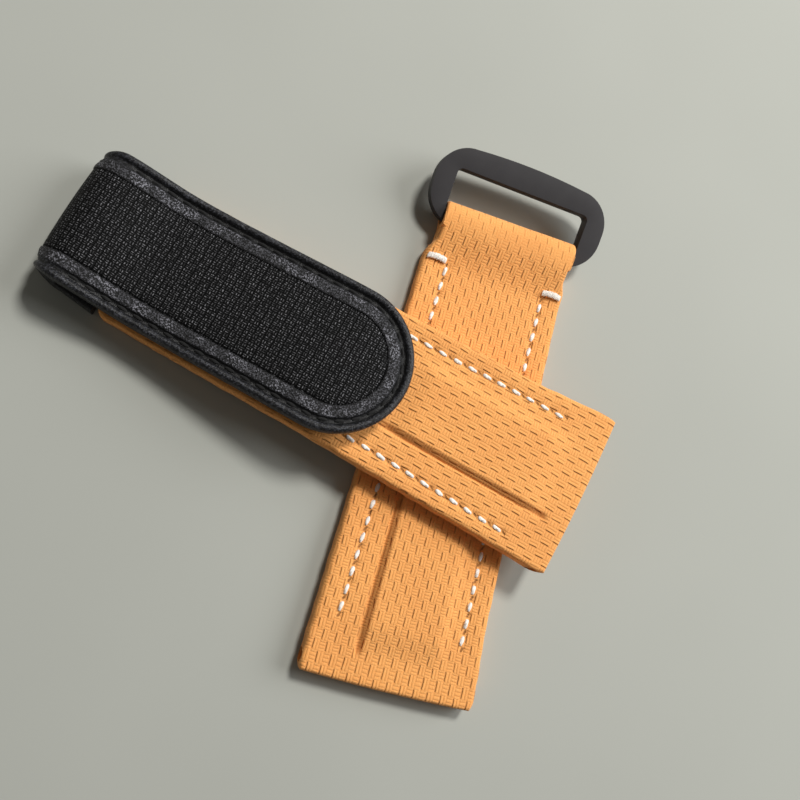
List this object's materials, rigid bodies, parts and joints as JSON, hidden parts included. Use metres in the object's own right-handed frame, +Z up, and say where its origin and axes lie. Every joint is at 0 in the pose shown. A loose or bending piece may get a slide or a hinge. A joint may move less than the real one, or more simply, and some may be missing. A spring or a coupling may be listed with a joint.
{
  "type": "hook and loop watch strap",
  "caption": "Cloth watch strap lying open: a short piece with a metal ring in its end loop, crossed by a long piece whose black tail folds back onto hook and loop tape.",
  "frame": {"origin": "on the table, under the middle of the short half", "axes": "+Y along the short half towards its ring, +X towards the long half's lug end, +Z up from the table, on the strap's outer side"},
  "size_m": [0.0803, 0.076, 0.0098],
  "materials": {
    "orange_cloth": "matte, woven, padded",
    "black_leather": "matte, fine grain",
    "black_nylon": "coarse basket weave with a slight sheen",
    "fastening_tape": "napped",
    "dark_lining": "soft, matte",
    "foam_padding": "soft",
    "pale_stiffener": "smooth",
    "white_thread": "matte thread",
    "dark_metal": "fine matte coating"
  },
  "bodies": {
    "short_half": {"short_outer_cloth": "orange_cloth", "short_lining": "dark_lining", "short_reinforcement": "pale_stiffener", "short_padding": "foam_padding", "bar_tack_left": "white_thread", "bar_tack_right": "white_thread"},
    "ring": {"ring": "dark_metal"},
    "long_half": {"long_outer_cloth": "orange_cloth", "long_lining": "dark_lining", "long_reinforcement": "pale_stiffener", "long_padding": "foam_padding", "loop_tape": "fastening_tape", "tail_tongue": "pale_stiffener", "tail_root_edge_left": "black_leather", "tail_root_edge_right": "black_leather", "tail_root_panel": "black_nylon", "tail_root_backing": "black_leather"},
    "fold_link_1": {"fold_link_1_edge_left": "black_leather", "fold_link_1_edge_right": "black_leather", "fold_link_1_panel": "black_nylon", "fold_link_1_backing": "black_leather"},
    "fold_link_2": {"fold_link_2_edge_left": "black_leather", "fold_link_2_edge_right": "black_leather", "fold_link_2_panel": "black_nylon", "fold_link_2_backing": "black_leather"},
    "fold_link_3": {"fold_link_3_edge_left": "black_leather", "fold_link_3_edge_right": "black_leather", "fold_link_3_panel": "black_nylon", "fold_link_3_backing": "black_leather"},
    "tail": {"tail_leather_edge": "black_leather", "tail_nylon_panel": "black_nylon", "tail_stiffener": "pale_stiffener", "tail_backing": "black_leather", "hook_tape": "fastening_tape"}
  },
  "joints": [
    {"name": "ring_swivel", "type": "hinge", "parent": "short_half", "child": "ring", "pos_m": [0, 0.0329, 0.00222], "axis": [1, 0, 0], "range_deg": [-137, 133]},
    {"name": "long_half_lift", "type": "slide", "parent": "short_half", "child": "long_half", "axis": [0, 0, 1], "range_m": [0, 0.06]},
    {"name": "fold_bend_1", "type": "hinge", "parent": "long_half", "child": "fold_link_1", "pos_m": [-0.05378, 0.01352, 0], "axis": [-0.2011, -0.9796, 0], "range_deg": [0, 29]},
    {"name": "fold_bend_2", "type": "hinge", "parent": "fold_link_1", "child": "fold_link_2", "pos_m": [-0.05684, 0.01415, 0.0018], "axis": [-0.2011, -0.9796, 0], "range_deg": [0, 58]},
    {"name": "fold_bend_3", "type": "hinge", "parent": "fold_link_2", "child": "fold_link_3", "pos_m": [-0.05684, 0.01415, 0.0054], "axis": [-0.2011, -0.9796, 0], "range_deg": [0, 58]},
    {"name": "fold_bend_4", "type": "hinge", "parent": "fold_link_3", "child": "tail", "pos_m": [-0.05378, 0.01352, 0.0072], "axis": [-0.2011, -0.9796, 0], "range_deg": [0, 29]}
  ],
  "couplings": [
    {"joint": "fold_bend_2", "follows": "fold_bend_1", "ratio": 2},
    {"joint": "fold_bend_3", "follows": "fold_bend_1", "ratio": 2},
    {"joint": "fold_bend_4", "follows": "fold_bend_1", "ratio": 1}
  ]
}
